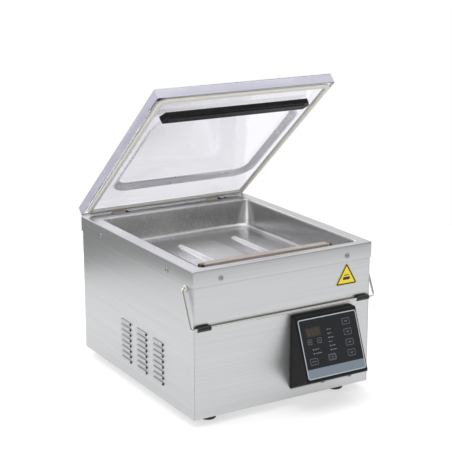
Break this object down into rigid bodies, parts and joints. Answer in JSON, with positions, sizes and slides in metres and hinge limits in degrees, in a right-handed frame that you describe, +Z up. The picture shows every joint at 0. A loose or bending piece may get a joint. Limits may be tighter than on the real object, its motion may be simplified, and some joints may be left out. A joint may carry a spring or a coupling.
{
  "type": "vacuum packing machine",
  "caption": "Table-top chamber vacuum packing machine: stainless casing, deep chamber with lifting seal bar, clear hinged lid, wire hold-down bail and sloping keypad.",
  "frame": {"origin": "on the table plane under the feet, below the middle of the casing's width and depth", "axes": "+Z up, +X to the right seen from the front, the front with the keypad faces -Y"},
  "size_m": [0.368, 0.4859, 0.5433],
  "materials": {
    "aluminium_bar": "extruded aluminium",
    "black_plastic": "moulded black plastic",
    "black_silicone": "black silicone strip",
    "brass_terminal": "machined brass",
    "bright_steel": "ground bright steel",
    "cast_aluminium": "sand-cast aluminium",
    "circuit_board": "soldered circuit board",
    "clear_acrylic": "clear cast acrylic, polished faces",
    "cream_silicone": "cream silicone seal",
    "fan_plastic": "glass-filled black plastic",
    "filter_paint": "painted steel can",
    "hose_rubber": "reinforced rubber hose",
    "key_film": "embossed polyester key",
    "laminated_steel": "varnished laminations",
    "motor_paint": "stove-enamelled motor shell",
    "nichrome_band": "rolled heating band",
    "overlay_film": "printed polyester film",
    "ptfe_tape": "brown non-stick glass cloth tape",
    "rubber_black": "moulded black rubber",
    "sleeve_plastic": "black plastic tube",
    "smoked_window": "smoked display window",
    "stainless_drawn": "satin drawn stainless",
    "stainless_panel": "brushed stainless sheet",
    "white_nylon": "natural white nylon",
    "yellow_plate": "printed yellow film",
    "zinc_steel": "zinc-plated steel"
  },
  "bodies": {
    "casing": {"base_pan": "stainless_panel", "rubber_feet": "rubber_black", "left_side_panel": "stainless_panel", "right_side_panel": "stainless_panel", "front_panel": "stainless_panel", "rear_panel": "stainless_panel", "top_cover": "stainless_panel", "cover_screws": "zinc_steel", "vacuum_chamber": "stainless_drawn", "suction_grid": "stainless_drawn", "lift_cylinders": "black_plastic", "hinge_shaft": "bright_steel", "hinge_brackets": "zinc_steel", "lid_springs": "bright_steel", "bail_bushes": "white_nylon", "control_housing": "black_plastic", "keypad_overlay": "overlay_film", "display_window": "smoked_window", "control_board": "circuit_board", "housing_screws": "zinc_steel", "drive_plate": "zinc_steel", "drive_mounts": "rubber_black", "motor_housing": "motor_paint", "pump_housing": "cast_aluminium", "oil_filter": "filter_paint", "vacuum_hose": "hose_rubber", "transformer": "laminated_steel", "power_board": "circuit_board", "valve_block": "brass_terminal", "fan_frame": "fan_plastic", "fan_guard": "bright_steel", "power_inlet": "black_plastic", "switch_frame": "black_plastic", "lid_switch_body": "black_plastic", "triangle_plate": "yellow_plate"},
    "lid": {"acrylic_lid": "clear_acrylic", "lid_gasket": "cream_silicone", "counter_bar_holder": "black_plastic", "counter_bar_silicone": "black_silicone", "hinge_blocks": "white_nylon", "hinge_screws": "zinc_steel"},
    "bail": {"bail_wire": "bright_steel", "bail_sleeves": "sleeve_plastic"},
    "seal_bar": {"seal_bar_beam": "aluminium_bar", "seal_wire": "nichrome_band", "seal_tape": "ptfe_tape", "seal_terminals": "brass_terminal", "lift_pistons": "bright_steel"},
    "pump_drive": {"drive_rotor": "laminated_steel"},
    "fan": {"fan_impeller": "fan_plastic"},
    "mains_rocker": {"switch_rocker": "sleeve_plastic"},
    "lid_switch_pin": {"lid_switch_plunger": "sleeve_plastic"},
    "key_up_body": {"key_up": "key_film"},
    "key_down_body": {"key_down": "key_film"},
    "key_lower_left_body": {"key_lower_left": "key_film"},
    "key_lower_middle_body": {"key_lower_middle": "key_film"},
    "key_right_1_body": {"key_right_1": "key_film"},
    "key_right_2_body": {"key_right_2": "key_film"},
    "key_right_3_body": {"key_right_3": "key_film"},
    "key_right_4_body": {"key_right_4": "key_film"}
  },
  "joints": [
    {"name": "lid_hinge", "type": "hinge", "parent": "casing", "child": "lid", "pos_m": [0, 0.1946, 0.2467], "axis": [-1, 0, 0], "range_deg": [-40.5, 0], "stiffness_Nm_per_rad": 6, "springref_deg": 60.16, "deforming": ["lid_springs"]},
    {"name": "bail_swing", "type": "hinge", "parent": "casing", "child": "bail", "pos_m": [0, -0.1824, 0.2359], "axis": [1, 0, 0], "range_deg": [-183.3, 0]},
    {"name": "seal_lift", "type": "slide", "parent": "casing", "child": "seal_bar", "axis": [0, 0, 1], "range_m": [0, 0.0035], "stiffness_N_per_m": 900, "springref_m": -0.006},
    {"name": "drive_spin", "type": "hinge", "parent": "casing", "child": "pump_drive", "pos_m": [-0.055, 0, 0.095], "axis": [0, 1, 0], "continuous": true},
    {"name": "fan_spin", "type": "hinge", "parent": "casing", "child": "fan", "pos_m": [0.03, 0.19, 0.12], "axis": [0, 1, 0], "continuous": true},
    {"name": "mains_rock", "type": "hinge", "parent": "casing", "child": "mains_rocker", "pos_m": [-0.12, 0.204, 0.102], "axis": [1, 0, 0], "range_deg": [0, 16]},
    {"name": "lid_switch_press", "type": "slide", "parent": "casing", "child": "lid_switch_pin", "axis": [0, 0, -1], "range_m": [0, 0.0013], "stiffness_N_per_m": 300, "springref_m": -0.002},
    {"name": "key_up_press", "type": "slide", "parent": "casing", "child": "key_up_body", "axis": [0, 0.9304, -0.3665], "range_m": [0, 0.0005], "stiffness_N_per_m": 1500, "springref_m": -0.0006},
    {"name": "key_down_press", "type": "slide", "parent": "casing", "child": "key_down_body", "axis": [0, 0.9304, -0.3665], "range_m": [0, 0.0005], "stiffness_N_per_m": 1500, "springref_m": -0.0006},
    {"name": "key_lower_left_press", "type": "slide", "parent": "casing", "child": "key_lower_left_body", "axis": [0, 0.9304, -0.3665], "range_m": [0, 0.0005], "stiffness_N_per_m": 1500, "springref_m": -0.0006},
    {"name": "key_lower_middle_press", "type": "slide", "parent": "casing", "child": "key_lower_middle_body", "axis": [0, 0.9304, -0.3665], "range_m": [0, 0.0005], "stiffness_N_per_m": 1500, "springref_m": -0.0006},
    {"name": "key_right_1_press", "type": "slide", "parent": "casing", "child": "key_right_1_body", "axis": [0, 0.9304, -0.3665], "range_m": [0, 0.0005], "stiffness_N_per_m": 1500, "springref_m": -0.0006},
    {"name": "key_right_2_press", "type": "slide", "parent": "casing", "child": "key_right_2_body", "axis": [0, 0.9304, -0.3665], "range_m": [0, 0.0005], "stiffness_N_per_m": 1500, "springref_m": -0.0006},
    {"name": "key_right_3_press", "type": "slide", "parent": "casing", "child": "key_right_3_body", "axis": [0, 0.9304, -0.3665], "range_m": [0, 0.0005], "stiffness_N_per_m": 1500, "springref_m": -0.0006},
    {"name": "key_right_4_press", "type": "slide", "parent": "casing", "child": "key_right_4_body", "axis": [0, 0.9304, -0.3665], "range_m": [0, 0.0005], "stiffness_N_per_m": 1500, "springref_m": -0.0006}
  ]
}
